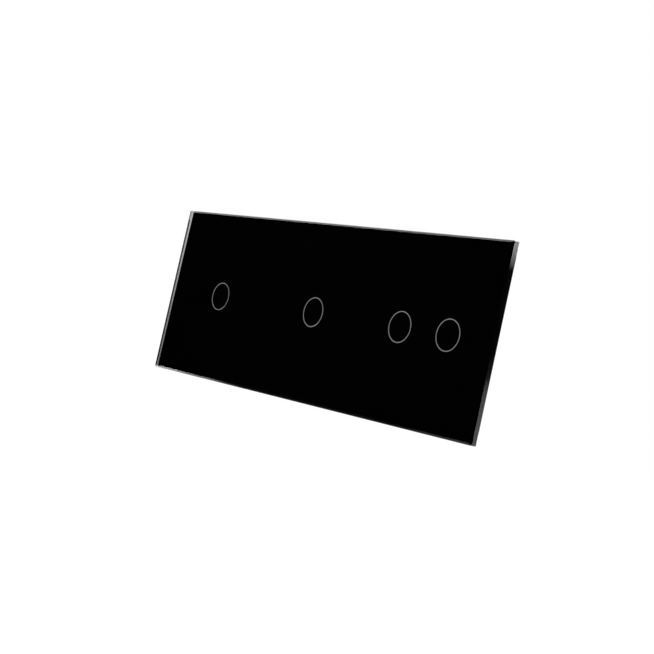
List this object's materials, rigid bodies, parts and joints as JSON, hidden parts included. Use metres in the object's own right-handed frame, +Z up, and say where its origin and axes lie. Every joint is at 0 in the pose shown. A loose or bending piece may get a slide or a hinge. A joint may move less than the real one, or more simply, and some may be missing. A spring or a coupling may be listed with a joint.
{
  "type": "touch light switch",
  "caption": "Wall light switch: a long black glass touch panel with ring marks, clipped over touch modules with relays and screw terminals.",
  "frame": {"origin": "middle of the centre module on the wall's face, half way between its fixing screws", "axes": "+X to the right as seen from the room, +Y into the wall, +Z up"},
  "size_m": [0.222, 0.0235, 0.08],
  "materials": {
    "clear_glass": "polished",
    "black_ink": "printed on the glass",
    "pale_ink": "printed on the glass",
    "black_foam": "foam tape",
    "black_plastic": "moulded, fine texture",
    "grey_plastic": "moulded, fine texture",
    "white_plastic": "moulded, fine texture",
    "clear_plastic": "moulded, frosted",
    "plated_steel": "zinc plated",
    "screw_steel": "zinc plated",
    "circuit_board": "solder mask",
    "black_epoxy": "moulded",
    "lamp_white": "moulded",
    "brass": "bare",
    "terminal_plastic": "moulded",
    "relay_blue": "moulded",
    "copper_wire": "enamelled",
    "iron": "annealed",
    "silver": "contact rivet",
    "capacitor_sleeve": "shrunk sleeve",
    "fuse_case": "moulded",
    "ferrite": "sintered"
  },
  "bodies": {
    "modules": {"case_screws": "screw_steel", "indicator_leds": "lamp_white", "touch_chips": "black_epoxy", "board_headers": "black_epoxy", "terminal_bars": "brass", "relay_bases": "black_epoxy", "relay_covers": "relay_blue", "relay_coils": "copper_wire", "relay_yokes": "iron", "relay_contacts": "silver", "capacitors": "capacitor_sleeve", "fuses": "fuse_case", "transformers": "ferrite", "left_mounting_plate": "plated_steel", "left_front_cover": "grey_plastic", "left_light_guide": "clear_plastic", "left_touch_board": "circuit_board", "left_rear_housing": "white_plastic", "left_power_board": "circuit_board", "left_terminal_block": "terminal_plastic", "middle_mounting_plate": "plated_steel", "middle_front_cover": "grey_plastic", "middle_light_guide": "clear_plastic", "middle_touch_board": "circuit_board", "middle_rear_housing": "white_plastic", "middle_power_board": "circuit_board", "middle_terminal_block": "terminal_plastic", "right_mounting_plate": "plated_steel", "right_front_cover": "grey_plastic", "right_light_guide": "clear_plastic", "right_touch_board": "circuit_board", "right_rear_housing": "white_plastic", "right_power_board": "circuit_board", "right_terminal_block": "terminal_plastic"},
    "panel": {"glass_panel": "clear_glass", "back_print": "black_ink", "ring_marks": "pale_ink", "adhesive_tape": "black_foam", "panel_carrier": "black_plastic"},
    "left_line_screw": {"left_line_screw": "screw_steel"},
    "left_line_clamp": {"left_line_clamp": "plated_steel"},
    "left_load_screw": {"left_load_screw": "screw_steel"},
    "left_load_clamp": {"left_load_clamp": "plated_steel"},
    "left_relay_armature": {"left_relay_armature": "iron"},
    "middle_line_screw": {"middle_line_screw": "screw_steel"},
    "middle_line_clamp": {"middle_line_clamp": "plated_steel"},
    "middle_load_screw": {"middle_load_screw": "screw_steel"},
    "middle_load_clamp": {"middle_load_clamp": "plated_steel"},
    "middle_relay_armature": {"middle_relay_armature": "iron"},
    "right_line_screw": {"right_line_screw": "screw_steel"},
    "right_line_clamp": {"right_line_clamp": "plated_steel"},
    "right_load_1_screw": {"right_load_1_screw": "screw_steel"},
    "right_load_1_clamp": {"right_load_1_clamp": "plated_steel"},
    "right_load_2_screw": {"right_load_2_screw": "screw_steel"},
    "right_load_2_clamp": {"right_load_2_clamp": "plated_steel"},
    "right_relay_armature_1": {"right_relay_armature_1": "iron"},
    "right_relay_armature_2": {"right_relay_armature_2": "iron"}
  },
  "joints": [
    {"name": "panel_pull_off", "type": "slide", "parent": "modules", "child": "panel", "axis": [0, -1, 0], "range_m": [0, 0.012]},
    {"name": "left_line_screw_turn", "type": "hinge", "parent": "modules", "child": "left_line_screw", "pos_m": [-0.075, 0.0118, -0.0152], "axis": [0, -1, 0], "range_deg": [0, 936]},
    {"name": "left_line_clamp_lift", "type": "slide", "parent": "modules", "child": "left_line_clamp", "axis": [0, 1, 0], "range_m": [0, 0.0013]},
    {"name": "left_load_screw_turn", "type": "hinge", "parent": "modules", "child": "left_load_screw", "pos_m": [-0.067, 0.0118, -0.0152], "axis": [0, -1, 0], "range_deg": [0, 936]},
    {"name": "left_load_clamp_lift", "type": "slide", "parent": "modules", "child": "left_load_clamp", "axis": [0, 1, 0], "range_m": [0, 0.0013]},
    {"name": "left_relay_armature_pull", "type": "hinge", "parent": "modules", "child": "left_relay_armature", "pos_m": [-0.0834, 0.0121, 0.0064], "axis": [1, 0, 0], "range_deg": [0, 5.5], "stiffness_Nm_per_rad": 0.001, "springref_deg": -5.73},
    {"name": "middle_line_screw_turn", "type": "hinge", "parent": "modules", "child": "middle_line_screw", "pos_m": [-0.004, 0.0118, -0.0152], "axis": [0, -1, 0], "range_deg": [0, 936]},
    {"name": "middle_line_clamp_lift", "type": "slide", "parent": "modules", "child": "middle_line_clamp", "axis": [0, 1, 0], "range_m": [0, 0.0013]},
    {"name": "middle_load_screw_turn", "type": "hinge", "parent": "modules", "child": "middle_load_screw", "pos_m": [0.004, 0.0118, -0.0152], "axis": [0, -1, 0], "range_deg": [0, 936]},
    {"name": "middle_load_clamp_lift", "type": "slide", "parent": "modules", "child": "middle_load_clamp", "axis": [0, 1, 0], "range_m": [0, 0.0013]},
    {"name": "middle_relay_armature_pull", "type": "hinge", "parent": "modules", "child": "middle_relay_armature", "pos_m": [-0.0124, 0.0121, 0.0064], "axis": [1, 0, 0], "range_deg": [0, 5.5], "stiffness_Nm_per_rad": 0.001, "springref_deg": -5.73},
    {"name": "right_line_screw_turn", "type": "hinge", "parent": "modules", "child": "right_line_screw", "pos_m": [0.063, 0.0118, -0.0152], "axis": [0, -1, 0], "range_deg": [0, 936]},
    {"name": "right_line_clamp_lift", "type": "slide", "parent": "modules", "child": "right_line_clamp", "axis": [0, 1, 0], "range_m": [0, 0.0013]},
    {"name": "right_load_1_screw_turn", "type": "hinge", "parent": "modules", "child": "right_load_1_screw", "pos_m": [0.071, 0.0118, -0.0152], "axis": [0, -1, 0], "range_deg": [0, 936]},
    {"name": "right_load_1_clamp_lift", "type": "slide", "parent": "modules", "child": "right_load_1_clamp", "axis": [0, 1, 0], "range_m": [0, 0.0013]},
    {"name": "right_load_2_screw_turn", "type": "hinge", "parent": "modules", "child": "right_load_2_screw", "pos_m": [0.079, 0.0118, -0.0152], "axis": [0, -1, 0], "range_deg": [0, 936]},
    {"name": "right_load_2_clamp_lift", "type": "slide", "parent": "modules", "child": "right_load_2_clamp", "axis": [0, 1, 0], "range_m": [0, 0.0013]},
    {"name": "right_relay_armature_1_pull", "type": "hinge", "parent": "modules", "child": "right_relay_armature_1", "pos_m": [0.0586, 0.0121, 0.0064], "axis": [1, 0, 0], "range_deg": [0, 5.5], "stiffness_Nm_per_rad": 0.001, "springref_deg": -5.73},
    {"name": "right_relay_armature_2_pull", "type": "hinge", "parent": "modules", "child": "right_relay_armature_2", "pos_m": [0.0698, 0.0121, 0.0064], "axis": [1, 0, 0], "range_deg": [0, 5.5], "stiffness_Nm_per_rad": 0.001, "springref_deg": -5.73}
  ],
  "couplings": [
    {"joint": "left_line_screw_turn", "follows": "left_line_clamp_lift", "rad_per_m": 12566},
    {"joint": "left_load_screw_turn", "follows": "left_load_clamp_lift", "rad_per_m": 12566},
    {"joint": "middle_line_screw_turn", "follows": "middle_line_clamp_lift", "rad_per_m": 12566},
    {"joint": "middle_load_screw_turn", "follows": "middle_load_clamp_lift", "rad_per_m": 12566},
    {"joint": "right_line_screw_turn", "follows": "right_line_clamp_lift", "rad_per_m": 12566},
    {"joint": "right_load_1_screw_turn", "follows": "right_load_1_clamp_lift", "rad_per_m": 12566},
    {"joint": "right_load_2_screw_turn", "follows": "right_load_2_clamp_lift", "rad_per_m": 12566}
  ]
}
